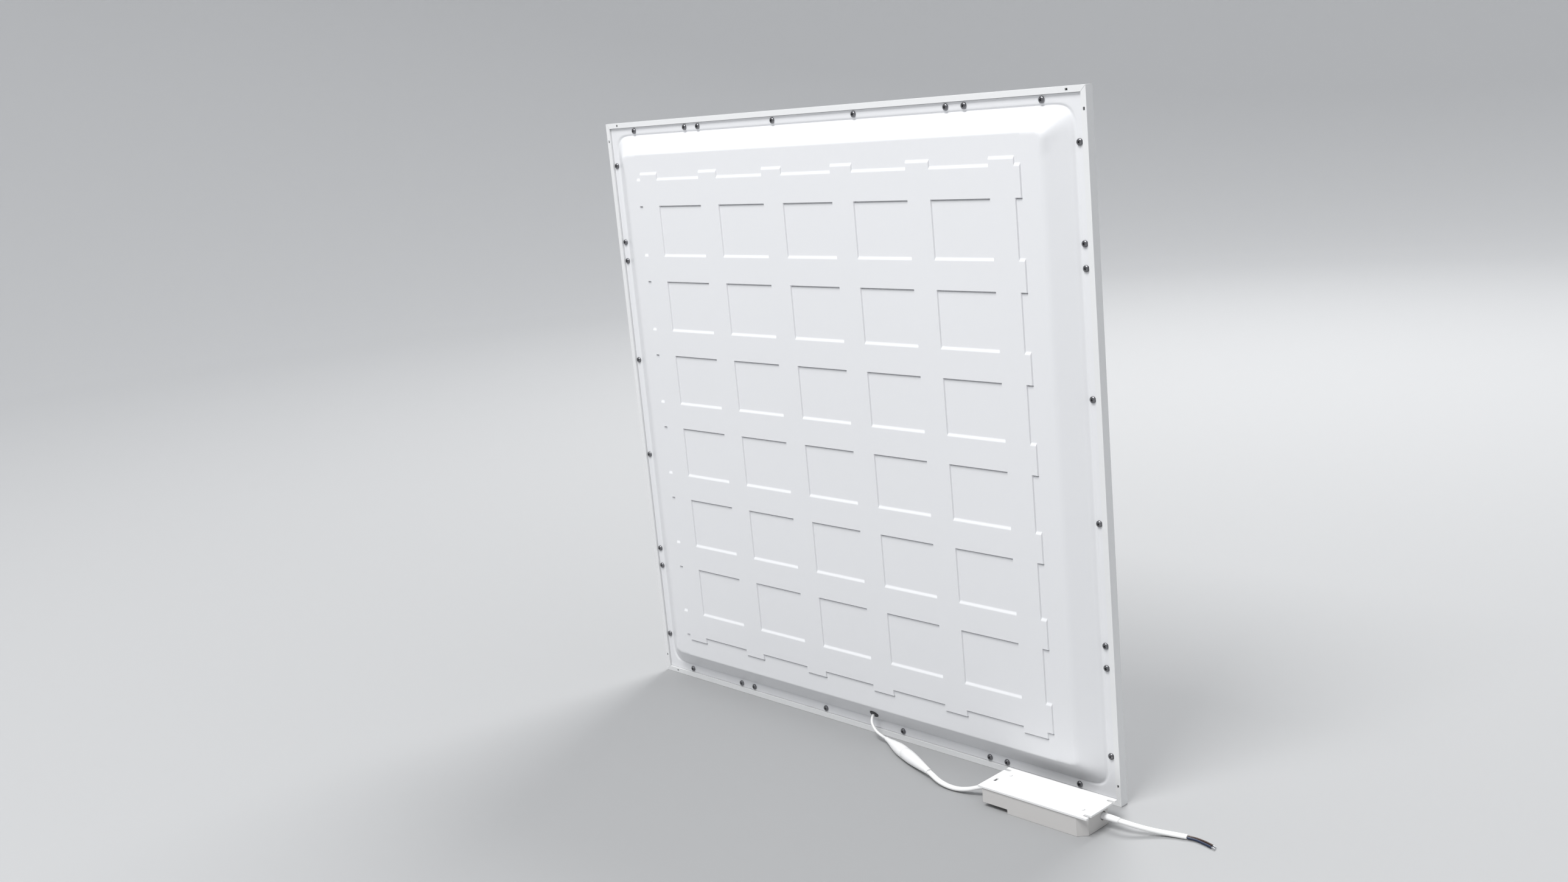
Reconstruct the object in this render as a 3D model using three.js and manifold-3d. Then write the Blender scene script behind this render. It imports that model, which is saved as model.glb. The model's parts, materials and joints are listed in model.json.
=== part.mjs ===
// Back-lit LED panel light for a 600 mm ceiling grid, with its separate driver and leads.
// Millimetres, +Z up. The panel stands on its bottom edge with its diffuser facing -Y and its pressed
// back pan facing +Y. The origin is the middle of the bottom edge. The driver lies on the same
// surface behind the panel, joined to it by a two-part connector that pulls apart.
import * as THREE from 'three';
import { mergeVertices } from 'three/addons/utils/BufferGeometryUtils.js';
import Module from 'manifold-3d';

const wasm = await Module();
wasm.setup();

// Panel frame
const SIDE = 595;
const HALF = SIDE / 2;
const DEPTH = 9;
const FRONT = -DEPTH / 2;
const REAR = DEPTH / 2;
const BORDER = 18.5;
const FACE_WALL = 1.4;
const OUTER_WALL = 1.2;
const RIM = 5;
const SHELF = 14.5;
const SHELF_FRONT = -0.5;
const SHELF_REAR = 1.7;
const GAP = 0.3;
const STEP_LINE_AT = 6;
const STEP_LINE = 0.6;
const STEP_LINE_DEEP = 0.35;

// Hollow in the rim, and the corner keys that sit in it
const CHAMBER = { a0: 1.3, a1: 3.7, y0: 0.9, y1: 3.3 };
const KEY_LEG = 30;
const STAKE_AT = 18;
const STAKE_SIZE = 2.6;

// Screws that hold the back pan, as places along each side from its middle
const SCREW_ROW = 9;
const SCREWS_MODELLED = [-254.5, -156.5, 156.5, 254.5];
const SCREWS_PLAIN_HOLES = [-176, -51.5, 51.5, 176];
const SCREW = { shank: 1.4, head: 2.9, headHigh: 1.7, long: 3.4 };
const SCREW_HOLE = 1.75;

// Diffuser
const DIFFUSER_THICK = 1.9;
const DIFFUSER_EDGE = 2;

// Back pan
const SHEET = 0.6;
const FOOT = 14.5;
const FOOT_RADIUS = 13;
const PLATEAU = 33;
const PLATEAU_RADIUS = 9;
const PAN_DEEP = 12;
const ROWS = 7;
const BAND_PITCH = 75.8;
const BAND_HIGH = 26.4;
const RIBS = 6;
const RIB_PITCH = 88.8;
const RIB_WIDE = 25.8;
const TAB = 5.8;
const EMBOSS = 1.4;

// LED bars
const BAR = { long: 474, wide: 14, thick: 1.2 };
const LENSES = 7;
const LENS_PITCH = 72;
const LENS = { radius: 7.2, skirt: 1.4, shoulder: 4.6, shoulderHigh: 4, high: 4.6 };

// Connector between panel and driver: the seam's place, and the way the plug pulls out
const SEAM = new THREE.Vector3(-82, 35, 6.1);
const PULL_ANGLE = 22 * Math.PI / 180;
const PULL = new THREE.Vector3(-Math.cos(PULL_ANGLE), Math.sin(PULL_ANGLE), 0);
const SOCKET_LONG = 40;
const PLUG_LONG = 48;
const CONNECTOR_RADIUS = 5.8;
const BARREL = { outer: 2.6, inner: 1.3, out: 11, in: 3 };
const BORE_RADIUS = 2.9;
const BORE_DEEP = 12;
const PIN_RADIUS = 0.9;
const PIN_SEAT = 3;

// Driver: its centre on the floor. +x in its own frame is the output end.
const DRIVER = new THREE.Vector3(-253, 48, 0);
const COVER = { long: 112, wide: 43, thick: 1.6, bottom: 17.1 };
const BASE = { long: 104, wide: 41.4, high: 16.8, wall: 1.6, chamfer: 7 };
const STEP = { x: 26, high: 3.9 };
const MAINS_HOLE = { y: -7, z: 9.2, radius: 3.9 };
const OUTPUT_HOLE = { z: 10.7, radius: 3.3 };

// Leads
const PANEL_LEAD = 2.6;
const TWIN = { wide: 5.2, thick: 3.2 };
const RELIEF = { inside: 4, outside: 16 };
const GROMMET_X = -20.5;
const GROMMET_Z = 22;

const COLOURS = {
  whitePaint: 0xf0f0f1,
  framePaint: 0xdcdcd8,
  diffuser: 0xe6e7ec,
  whitePlastic: 0xf6f6f5,
  greyPlastic: 0xd6d4d1,
  cable: 0xf3f3f1,
  rubber: 0x4a4b4d,
  steel: 0x7b7c7e,
  zinc: 0xa9abad,
  tin: 0xc4c6c8,
  board: 0x2f6b46,
  whiteBoard: 0xeef0ef,
  dark: 0x2b2b2d,
  blue: 0x2f4f8f,
  brown: 0x5d3a26,
  yellow: 0xd8b23a,
};

function finish(colour, roughness, metalness = 0) {
  return new THREE.MeshStandardMaterial({ color: colour, roughness, metalness });
}

const group = new THREE.Group();

function add(parent, name, geometry, material) {
  const mesh = new THREE.Mesh(geometry, material);
  mesh.name = name;
  parent.add(mesh);
  return mesh;
}

// Solids: a closed mesh as a manifold, and back
function solid(geometry) {
  const bare = geometry.clone();
  bare.deleteAttribute('normal');
  bare.deleteAttribute('uv');
  const merged = mergeVertices(bare, 1e-4);
  return new wasm.Manifold(new wasm.Mesh({
    numProp: 3,
    vertProperties: new Float32Array(merged.attributes.position.array),
    triVerts: new Uint32Array(merged.index.array),
  }));
}

function geometryOf(body) {
  const mesh = body.getMesh();
  const geometry = new THREE.BufferGeometry();
  geometry.setAttribute('position', new THREE.BufferAttribute(mesh.vertProperties, 3));
  geometry.setIndex(new THREE.BufferAttribute(mesh.triVerts, 1));
  geometry.computeVertexNormals();
  return geometry;
}

function union(bodies) {
  return bodies.reduce((sum, body) => sum.add(body));
}

function cutAll(body, tools) {
  return tools.reduce((left, tool) => left.subtract(tool), body);
}

// A box given by its lowest and highest corners
function block(x0, x1, y0, y1, z0, z1) {
  const geometry = new THREE.BoxGeometry(x1 - x0, y1 - y0, z1 - z0);
  geometry.translate((x0 + x1) / 2, (y0 + y1) / 2, (z0 + z1) / 2);
  return geometry;
}

// The axis that rods and turned solids are first made along
const UP = new THREE.Vector3(0, 1, 0);

// A cylinder from one point to another
function rod(from, to, radius, sides) {
  const along = new THREE.Vector3().subVectors(to, from);
  const geometry = new THREE.CylinderGeometry(radius, radius, along.length(), sides);
  geometry.applyQuaternion(new THREE.Quaternion().setFromUnitVectors(UP, along.clone().normalize()));
  geometry.translate((from.x + to.x) / 2, (from.y + to.y) / 2, (from.z + to.z) / 2);
  return geometry;
}

// A turned solid whose profile is [radius, height] pairs, set along a direction from a point
function turned(profile, sides, from, direction, flatten = 1) {
  const geometry = new THREE.LatheGeometry(profile.map(([r, h]) => new THREE.Vector2(r, h)), sides);
  geometry.applyQuaternion(new THREE.Quaternion().setFromUnitVectors(UP, direction));
  geometry.scale(1, 1, flatten);
  geometry.translate(from.x, from.y, from.z);
  return geometry;
}

// A cord along a smooth curve, as a polygon tube. The width lies flat where the cord lies flat.
function cord(points, wide, thick, sides, steps) {
  const section = new THREE.Shape();
  for (let i = 0; i < sides; i += 1) {
    const angle = (i + 0.5) * 2 * Math.PI / sides;
    const grow = 1 / Math.cos(Math.PI / sides);
    const x = grow * Math.cos(angle) * thick / 2;
    const y = grow * Math.sin(angle) * wide / 2;
    if (i === 0) section.moveTo(x, y);
    else section.lineTo(x, y);
  }
  section.closePath();
  const curve = new THREE.CatmullRomCurve3(points.map((p) => new THREE.Vector3(...p)), false, 'centripetal');
  return new THREE.ExtrudeGeometry(section, { steps, extrudePath: curve, bevelEnabled: false });
}

function polygon(points) {
  const shape = new THREE.Shape();
  points.forEach(([x, y], i) => (i === 0 ? shape.moveTo(x, y) : shape.lineTo(x, y)));
  shape.closePath();
  return shape;
}

// ---- Frame: one extrusion a side, mitred at both ends ----

// Section of the extrusion: x is the distance in from the outer edge, y is the depth
function frameSection(stepLine) {
  const face = [[0, FRONT]];
  if (stepLine) {
    face.push(
      [STEP_LINE_AT, FRONT],
      [STEP_LINE_AT, FRONT + STEP_LINE_DEEP],
      [STEP_LINE_AT + STEP_LINE, FRONT + STEP_LINE_DEEP],
      [STEP_LINE_AT + STEP_LINE, FRONT],
    );
  }
  const section = polygon([
    ...face,
    [BORDER, FRONT], [BORDER, FRONT + FACE_WALL], [OUTER_WALL, FRONT + FACE_WALL],
    [OUTER_WALL, SHELF_FRONT], [SHELF, SHELF_FRONT], [SHELF, SHELF_REAR],
    [RIM, SHELF_REAR], [RIM, REAR], [0, REAR],
  ]);
  const { a0, a1, y0, y1 } = CHAMBER;
  const hollow = new THREE.Path();
  hollow.moveTo(a0, y0);
  hollow.lineTo(a0, y1);
  hollow.lineTo(a1, y1);
  hollow.lineTo(a1, y0);
  hollow.closePath();
  section.holes.push(hollow);
  return section;
}

// The bottom extrusion, about the panel's centre: its ends are sheared to 45 degrees
function frameMember(stepLine) {
  const geometry = new THREE.ExtrudeGeometry(frameSection(stepLine), { depth: SIDE, bevelEnabled: false });
  const position = geometry.attributes.position;
  for (let i = 0; i < position.count; i += 1) {
    const inward = position.getX(i);
    const end = position.getZ(i) < HALF ? inward + GAP / 2 : SIDE - inward - GAP / 2;
    position.setXYZ(i, HALF - end, position.getY(i), inward - HALF);
  }
  const tools = [...SCREWS_MODELLED, ...SCREWS_PLAIN_HOLES].map((along) => solid(rod(
    new THREE.Vector3(along, SHELF_FRONT - 1, SCREW_ROW - HALF),
    new THREE.Vector3(along, SHELF_REAR + 1, SCREW_ROW - HALF),
    SCREW_HOLE,
    6,
  )));
  for (const end of [-1, 1]) {
    const along = end * (HALF - STAKE_AT);
    const middle = (CHAMBER.a0 + CHAMBER.a1) / 2 - HALF;
    const reach = STAKE_SIZE / 2;
    tools.push(solid(block(along - reach, along + reach, CHAMBER.y1 - 0.4, REAR + 1,
      middle - 0.9, middle + 0.9)));
  }
  return geometryOf(cutAll(solid(geometry), tools));
}

// An L-shaped key in the rim's hollow at the corner x > 0, z < 0
function cornerKey() {
  const low = CHAMBER.a0 + GAP - HALF;
  const high = CHAMBER.a1 - GAP - HALF;
  const y0 = CHAMBER.y0 + GAP;
  const y1 = CHAMBER.y1 - GAP;
  const reach = KEY_LEG - HALF;
  const outline = polygon([
    [-low, low], [-low, reach], [-high, reach], [-high, high], [-reach, high], [-reach, low],
  ]);
  const geometry = new THREE.ExtrudeGeometry(outline, { depth: y1 - y0, bevelEnabled: false });
  geometry.rotateX(Math.PI / 2);
  geometry.translate(0, y1, 0);
  return geometry;
}

function panScrew(along) {
  const { shank, head, headHigh, long } = SCREW;
  const seat = SHELF_REAR + 2 * GAP + SHEET;
  const profile = [
    [0, -long], [shank * 0.5, -long], [shank, -long + 1.4], [shank, 0], [head, 0],
    [head, headHigh * 0.45], [head * 0.72, headHigh * 0.86], [0, headHigh],
  ];
  const from = new THREE.Vector3(along, seat, SCREW_ROW - HALF);
  return turned(profile, 10, from, new THREE.Vector3(0, 1, 0));
}

const framePaint = finish(COLOURS.framePaint, 0.45);
const steelScrew = finish(COLOURS.steel, 0.35, 0.9);
const zincKey = finish(COLOURS.zinc, 0.4, 0.8);
const SIDES = ['bottom', 'left', 'top', 'right'];

SIDES.forEach((sideName, turn) => {
  const side = new THREE.Group();
  side.position.z = HALF;
  side.rotation.y = turn * Math.PI / 2;
  group.add(side);
  add(side, `frame_${sideName}`, frameMember(turn % 2 === 0), framePaint);
  add(side, `corner_key_${turn + 1}`, cornerKey(), zincKey);
  SCREWS_MODELLED.forEach((along, i) => {
    add(side, `pan_screw_${sideName}_${i + 1}`, panScrew(along), steelScrew);
  });
});

// ---- Diffuser ----

const panel = new THREE.Group();
panel.position.z = HALF;
group.add(panel);

const diffuserFront = FRONT + FACE_WALL + GAP;
const diffuserHalf = HALF - DIFFUSER_EDGE;
add(panel, 'diffuser', block(-diffuserHalf, diffuserHalf, diffuserFront, diffuserFront + DIFFUSER_THICK,
  -diffuserHalf, diffuserHalf), finish(COLOURS.diffuser, 0.5));

// ---- Back pan ----

// A square with round corners, tapering from one size to another along +Y
function taper(y0, half0, radius0, y1, half1, radius1) {
  const shape = new THREE.Shape();
  const straight = half0 - radius0;
  shape.absarc(straight, straight, radius0, 0, Math.PI / 2);
  shape.absarc(-straight, straight, radius0, Math.PI / 2, Math.PI);
  shape.absarc(-straight, -straight, radius0, Math.PI, 1.5 * Math.PI);
  shape.absarc(straight, -straight, radius0, 1.5 * Math.PI, 2 * Math.PI);
  const depth = y1 - y0;
  const geometry = new THREE.ExtrudeGeometry(shape, { depth, bevelEnabled: false, curveSegments: 5 });
  const position = geometry.attributes.position;
  for (let i = 0; i < position.count; i += 1) {
    const x = position.getX(i);
    const z = position.getY(i);
    if (position.getZ(i) < depth / 2) {
      position.setXYZ(i, x, y0, -z);
    } else {
      const outX = Math.max(Math.abs(x) - straight, 0) / radius0;
      const outZ = Math.max(Math.abs(z) - straight, 0) / radius0;
      const core = half1 - radius1;
      position.setXYZ(i, Math.sign(x) * (core + outX * radius1), y1, -Math.sign(z) * (core + outZ * radius1));
    }
  }
  return geometry;
}

const flangeFront = SHELF_REAR + GAP;
const flangeRear = flangeFront + SHEET;
const plateauRear = REAR + PAN_DEEP;
const slopeRun = PLATEAU - FOOT;
const slopeRise = plateauRear - flangeRear;
const slopeOut = new THREE.Vector3(0, slopeRun, -slopeRise).normalize();
const leadHole = new THREE.Vector3(
  GROMMET_X,
  flangeRear + slopeRise * (GROMMET_Z - FOOT) / slopeRun,
  GROMMET_Z - HALF,
);

// The pressed lattice: bands and ribs cross, and each runs past the outermost of the others as a tab.
// inset draws its sides in by a sheet's thickness, for the hollow behind it.
function lattice(inset, y0, y1) {
  const bandHalf = (RIBS - 1) * RIB_PITCH / 2 + RIB_WIDE / 2 + TAB - inset;
  const ribHalf = (ROWS - 1) * BAND_PITCH / 2 + BAND_HIGH / 2 + TAB - inset;
  const raised = [];
  for (let row = 0; row < ROWS; row += 1) {
    const z = (row - (ROWS - 1) / 2) * BAND_PITCH;
    const half = BAND_HIGH / 2 - inset;
    raised.push(solid(block(-bandHalf, bandHalf, y0, y1, z - half, z + half)));
  }
  for (let rib = 0; rib < RIBS; rib += 1) {
    const x = (rib - (RIBS - 1) / 2) * RIB_PITCH;
    const half = RIB_WIDE / 2 - inset;
    raised.push(solid(block(x - half, x + half, y0, y1, -ribHalf, ribHalf)));
  }
  return union(raised);
}

function backPan() {
  const wall = SHEET * (1 - slopeOut.y) / -slopeOut.z;
  const flangeHalf = HALF - RIM - GAP;
  const plate = solid(block(-flangeHalf, flangeHalf, flangeFront, flangeRear, -flangeHalf, flangeHalf));
  const outer = solid(taper(flangeRear - 0.1, HALF - FOOT, FOOT_RADIUS,
    plateauRear, HALF - PLATEAU, PLATEAU_RADIUS));
  const inner = solid(taper(flangeFront - 0.1, HALF - FOOT - wall, FOOT_RADIUS - 1,
    plateauRear - SHEET, HALF - PLATEAU - wall, PLATEAU_RADIUS - 1));
  const holes = [];
  for (let turn = 0; turn < 4; turn += 1) {
    for (const along of [...SCREWS_MODELLED, ...SCREWS_PLAIN_HOLES]) {
      const from = new THREE.Vector3(along, flangeFront - 1, SCREW_ROW - HALF);
      const to = new THREE.Vector3(along, flangeRear + 1, SCREW_ROW - HALF);
      const geometry = rod(from, to, SCREW_HOLE, 6);
      geometry.rotateY(turn * Math.PI / 2);
      holes.push(solid(geometry));
    }
  }
  const start = leadHole.clone().addScaledVector(slopeOut, -4);
  const end = leadHole.clone().addScaledVector(slopeOut, 4);
  holes.push(solid(rod(start, end, 3.3, 12)));
  const pressed = lattice(0, plateauRear - SHEET / 2, plateauRear + EMBOSS);
  const hollow = lattice(SHEET, plateauRear - 2 * SHEET, plateauRear + EMBOSS - SHEET);
  return geometryOf(cutAll(union([plate, outer]).subtract(inner).add(pressed), [hollow, ...holes]));
}
add(panel, 'back_pan', backPan(), finish(COLOURS.whitePaint, 0.35));

function grommet() {
  const bore = PANEL_LEAD / 2 + GAP;
  const inside = -SHEET - GAP;
  const profile = [
    [bore, inside - 1.2], [4.4, inside - 1.2], [4.4, inside], [3, inside], [3, GAP],
    [4.6, GAP], [4.2, 1.5], [bore + 0.6, 1.8], [bore, 1.5], [bore, inside - 1.2],
  ];
  return turned(profile, 14, leadHole, slopeOut);
}
add(panel, 'lead_grommet', grommet(), finish(COLOURS.rubber, 0.7));

// ---- LED bars behind the bands, and the wires that feed them ----

const boardRear = plateauRear + EMBOSS - SHEET - GAP;
const boardFront = boardRear - BAR.thick;

function ledBar(z) {
  const reach = BAR.long / 2;
  const bodies = [solid(block(-reach, reach, boardFront, boardRear, z - BAR.wide / 2, z + BAR.wide / 2))];
  const forward = new THREE.Vector3(0, -1, 0);
  for (let i = 0; i < LENSES; i += 1) {
    const x = (i - (LENSES - 1) / 2) * LENS_PITCH;
    const profile = [
      [0, -0.2], [LENS.radius, -0.2], [LENS.radius, LENS.skirt],
      [LENS.shoulder, LENS.shoulderHigh], [0, LENS.high],
    ];
    bodies.push(solid(turned(profile, 8, new THREE.Vector3(x, boardFront, z), forward)));
  }
  return geometryOf(union(bodies));
}
for (let row = 0; row < ROWS; row += 1) {
  const z = (row - (ROWS - 1) / 2) * BAND_PITCH;
  add(panel, `led_bar_${row + 1}`, ledBar(z), finish(COLOURS.whiteBoard, 0.4));
}

// Each link wire runs down past the bars' ends, along the foot of the pan, and to the grommet
const wireY = boardFront - GAP - 0.6;
const LINK_WIRES = [
  { name: 'link_wire_positive', x: 227, low: 44, end: -1.5, colour: COLOURS.brown },
  { name: 'link_wire_negative', x: 233, low: 38, end: 1.5, colour: COLOURS.blue },
];
for (const wire of LINK_WIRES) {
  const route = [
    [wire.x, wireY, SIDE - 62], [wire.x, wireY, HALF], [wire.x, wireY, wire.low + 24],
    [wire.x - 3, wireY, wire.low + 6], [wire.x - 14, wireY - 0.6, wire.low], [60, wireY - 3, wire.low],
    [0, 8, wire.low - 4], [GROMMET_X + 5 + wire.end, 5.4, 29.5 - wire.end], [GROMMET_X + wire.end, 4.4, 26.6],
  ];
  add(group, wire.name, cord(route, 1.2, 1.2, 6, 28), finish(wire.colour, 0.5));
}

// ---- Connector ----

function along(distance) {
  return SEAM.clone().addScaledVector(PULL, distance);
}

function socketHalf() {
  const bottom = SOCKET_LONG - BORE_DEEP;
  const pinSeat = PIN_RADIUS + GAP;
  const profile = [
    [0, 0], [2, 0], [2.3, 5], [3.5, 13], [5, 23], [CONNECTOR_RADIUS, 31],
    [CONNECTOR_RADIUS, SOCKET_LONG],
    [BORE_RADIUS, SOCKET_LONG], [BORE_RADIUS, bottom], [pinSeat, bottom], [pinSeat, bottom - PIN_SEAT],
    [0, bottom - PIN_SEAT],
  ];
  return turned(profile, 16, along(-SOCKET_LONG), PULL);
}

function plugHalf() {
  const seat = BARREL.outer + GAP;
  const profile = [
    [0, BARREL.in + GAP], [seat, BARREL.in + GAP], [seat, 0], [CONNECTOR_RADIUS, 0], [CONNECTOR_RADIUS, 12],
    [5.2, 20], [4.2, 32], [3.3, 42], [2.9, PLUG_LONG], [0, PLUG_LONG],
  ];
  return turned(profile, 16, along(GAP), PULL);
}

function plugBarrel() {
  const { outer, inner } = BARREL;
  const profile = [
    [inner, -BARREL.out], [outer, -BARREL.out], [outer, BARREL.in], [inner, BARREL.in], [inner, -BARREL.out],
  ];
  return turned(profile, 12, along(GAP), PULL);
}

function socketPin() {
  const root = BORE_DEEP + PIN_SEAT - GAP;
  const profile = [[0, 0], [PIN_RADIUS, 0], [PIN_RADIUS, root - 3.4], [0.4, root - 2.6], [0, root - 2.6]];
  return turned(profile, 8, along(-root), PULL);
}

const whitePlastic = finish(COLOURS.whitePlastic, 0.35);
const cableSheath = finish(COLOURS.cable, 0.4);
const tinned = finish(COLOURS.tin, 0.3, 0.9);
add(group, 'socket_half', socketHalf(), whitePlastic);
add(group, 'socket_pin', socketPin(), tinned);
add(group, 'plug_half', plugHalf(), whitePlastic);
add(group, 'plug_barrel', plugBarrel(), tinned);

// ---- Free leads ----

const leadStart = leadHole.clone().addScaledVector(slopeOut, -0.8);
leadStart.z += HALF;
const leadOut = leadStart.clone().addScaledVector(slopeOut, 4.2);
const socketTail = along(-SOCKET_LONG - GAP);
const plugTail = along(PLUG_LONG + 2 * GAP);

const PANEL_LEAD_ROUTE = [
  [leadStart.x, leadStart.y, leadStart.z],
  [leadOut.x, leadOut.y, leadOut.z],
  [-22.8, 15, 16.4], [-26.6, 17, 12.6], [-31.6, 18.2, 9.2], [-37.8, 18.6, 7],
  [socketTail.x, socketTail.y, socketTail.z],
];
add(group, 'panel_lead', cord(PANEL_LEAD_ROUTE, PANEL_LEAD, PANEL_LEAD, 8, 8), cableSheath);

const DRIVER_LEAD_ROUTE = [
  [plugTail.x, plugTail.y, plugTail.z], [-134, 55.9, 5.4], [-143, 58.6, 3.8], [-154, 60, 2.6],
  [-165, 59.6, 2.6], [-176, 57.8, 4.6], [-186, 55.6, 8], [-193, 54.8, 10.2], [-198.6, 54.7, OUTPUT_HOLE.z],
];
add(group, 'driver_lead', cord(DRIVER_LEAD_ROUTE, TWIN.wide, TWIN.thick, 8, 14), cableSheath);

const reliefTip = DRIVER.x - BASE.long / 2 - RELIEF.outside - GAP;
const MAINS_LEAD_ROUTE = [
  [reliefTip, DRIVER.y + MAINS_HOLE.y, MAINS_HOLE.z], [-323.3, 40.95, 9.15], [-329, 39.9, 8.4],
  [-336, 37, 6.7], [-343.5, 32.9, 4.7], [-351, 28.8, 3.1], [-358.5, 25.4, 2.2], [-365.5, 23.1, 1.8],
  [-371.2, 21.6, 1.75],
];
add(group, 'mains_lead', cord(MAINS_LEAD_ROUTE, TWIN.wide, TWIN.thick, 8, 14), cableSheath);

const CORES = [
  { name: 'mains_core_live', side: 1, colour: COLOURS.brown },
  { name: 'mains_core_neutral', side: -1, colour: COLOURS.blue },
];
// The cores run on from the sheath's end: [forward, sideways, height] from that end, before they part
const CORE_ROUTE = [[0.5, 0, 1.6], [7, -0.6, 1.3], [16, -4, 1.1], [25.5, -9.7, 1.1]];
const CORE_APART = [1.2, 1.3, 1.6, 1.4];
const sheathEnd = new THREE.Vector3(...MAINS_LEAD_ROUTE.at(-1));
const sheathWay = sheathEnd.clone().sub(new THREE.Vector3(...MAINS_LEAD_ROUTE.at(-2))).setZ(0).normalize();
for (const core of CORES) {
  const route = CORE_ROUTE.map(([forward, sideways, z], i) => {
    const out = sideways + core.side * CORE_APART[i];
    return [
      sheathEnd.x + forward * sheathWay.x - out * sheathWay.y,
      sheathEnd.y + forward * sheathWay.y + out * sheathWay.x,
      z,
    ];
  });
  add(group, core.name, cord(route, 1.9, 1.9, 8, 5), finish(core.colour, 0.5));
}

// ---- Driver ----

const driver = new THREE.Group();
driver.position.copy(DRIVER);
group.add(driver);

// Plan outline of the case, with its mains end chamfered, drawn in by a wall's thickness
function caseOutline(inset) {
  const x = BASE.long / 2 - inset;
  const y = BASE.wide / 2 - inset;
  const c = BASE.chamfer;
  return polygon([[-x + c, -y], [x, -y], [x, y], [-x + c, y], [-x, y - c], [-x, c - y]]);
}

function prism(shape, z0, z1) {
  const geometry = new THREE.ExtrudeGeometry(shape, { depth: z1 - z0, bevelEnabled: false });
  geometry.translate(0, 0, z0);
  return geometry;
}

function driverBase() {
  const { long, wide, high, wall } = BASE;
  const reach = long / 2;
  const outer = solid(prism(caseOutline(0), 0, high));
  const cavity = solid(prism(caseOutline(wall), wall, high + 1));
  const risen = solid(block(STEP.x - wall, reach, -wide / 2, wide / 2, -1, STEP.high + wall));
  const under = solid(block(STEP.x, reach + 1, -wide, wide, -1, STEP.high));
  const mains = solid(rod(new THREE.Vector3(-reach - 2, MAINS_HOLE.y, MAINS_HOLE.z),
    new THREE.Vector3(-reach + 4, MAINS_HOLE.y, MAINS_HOLE.z), MAINS_HOLE.radius, 14));
  const outputY = 54.7 - DRIVER.y;
  const output = solid(rod(new THREE.Vector3(reach - 4, outputY, OUTPUT_HOLE.z),
    new THREE.Vector3(reach + 2, outputY, OUTPUT_HOLE.z), OUTPUT_HOLE.radius, 12));
  return geometryOf(cutAll(outer, [cavity.subtract(risen), under, mains, output]));
}
add(driver, 'driver_base', driverBase(), finish(COLOURS.greyPlastic, 0.5));

// The cover overhangs both ends as ears, notched for fixing screws, with a skirt inside the base
const EAR = { y: 16.5, wide: 3.4, deep: 4.6 };
const NOTCHES = [[-1, EAR.y], [-1, -EAR.y], [1, -EAR.y]];
const SLOT = { x: 49.5, y: 4.5, long: 5.4, wide: 2.4 };
const COVER_SCREWS = [[44, -9], [-44, 9]];
const COVER_HOLE = 1.3;
const coverTop = COVER.bottom + COVER.thick;

// A round hole straight down through the cover
function coverHole(x, y, radius, sides) {
  const above = new THREE.Vector3(x, y, coverTop + 1);
  const below = new THREE.Vector3(x, y, COVER.bottom - 1);
  return solid(rod(below, above, radius, sides));
}

// A rectangular cut straight down through the cover
function coverCut(x0, x1, y0, y1) {
  return solid(block(x0, x1, y0, y1, COVER.bottom - 1, coverTop + 1));
}

function driverCover() {
  const reach = COVER.long / 2;
  const inside = BASE.wall + GAP;
  const plate = solid(block(-reach, reach, -COVER.wide / 2, COVER.wide / 2, COVER.bottom, coverTop));
  const skirt = solid(prism(caseOutline(inside), 14.6, COVER.bottom + 0.2));
  const hollow = solid(prism(caseOutline(inside + 1.2), 14, COVER.bottom));
  const tools = [hollow];
  for (const [end, y] of NOTCHES) {
    const bottom = end * (reach - EAR.deep);
    const mouth = end * (reach + 1);
    const half = EAR.wide / 2;
    tools.push(coverHole(bottom, y, half, 12));
    tools.push(coverCut(Math.min(bottom, mouth), Math.max(bottom, mouth), y - half, y + half));
  }
  tools.push(coverCut(SLOT.x - SLOT.wide / 2, SLOT.x + SLOT.wide / 2,
    SLOT.y - SLOT.long / 2, SLOT.y + SLOT.long / 2));
  for (const [x, y] of COVER_SCREWS) tools.push(coverHole(x, y, COVER_HOLE, 8));
  return geometryOf(cutAll(plate.add(skirt), tools));
}
add(driver, 'driver_cover', driverCover(), whitePlastic);

function coverScrew(x, y) {
  const profile = [[0, -6], [1, -5], [1, GAP], [1.7, GAP], [1.4, 0.9], [0, 1]];
  return turned(profile, 8, new THREE.Vector3(x, y, coverTop), new THREE.Vector3(0, 0, 1));
}
COVER_SCREWS.forEach(([x, y], i) => {
  add(driver, `cover_screw_${i + 1}`, coverScrew(x, y), whitePlastic);
});

// Board and what stands on it: each part is a block or a can, set on the board's top
const BOARD = { x0: -44, x1: 48, half: 17.6, z0: 6, thick: 1.4 };
const boardTop = BOARD.z0 + BOARD.thick;
add(driver, 'driver_board', block(BOARD.x0, BOARD.x1, -BOARD.half, BOARD.half, BOARD.z0, boardTop),
  finish(COLOURS.board, 0.5));
const seat = boardTop + GAP;
const roof = 13.6;

function transformer() {
  const core = solid(block(-12, 8, -10, 10, seat, seat + 2));
  const legs = [-12, 5].map((x) => solid(block(x, x + 3, -10, 10, seat, roof)));
  const bobbin = solid(block(-9.2, 5.2, -7, 7, seat, roof - 0.6));
  return geometryOf(union([core, ...legs, bobbin]));
}
add(driver, 'transformer', transformer(), finish(COLOURS.yellow, 0.5));

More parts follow.
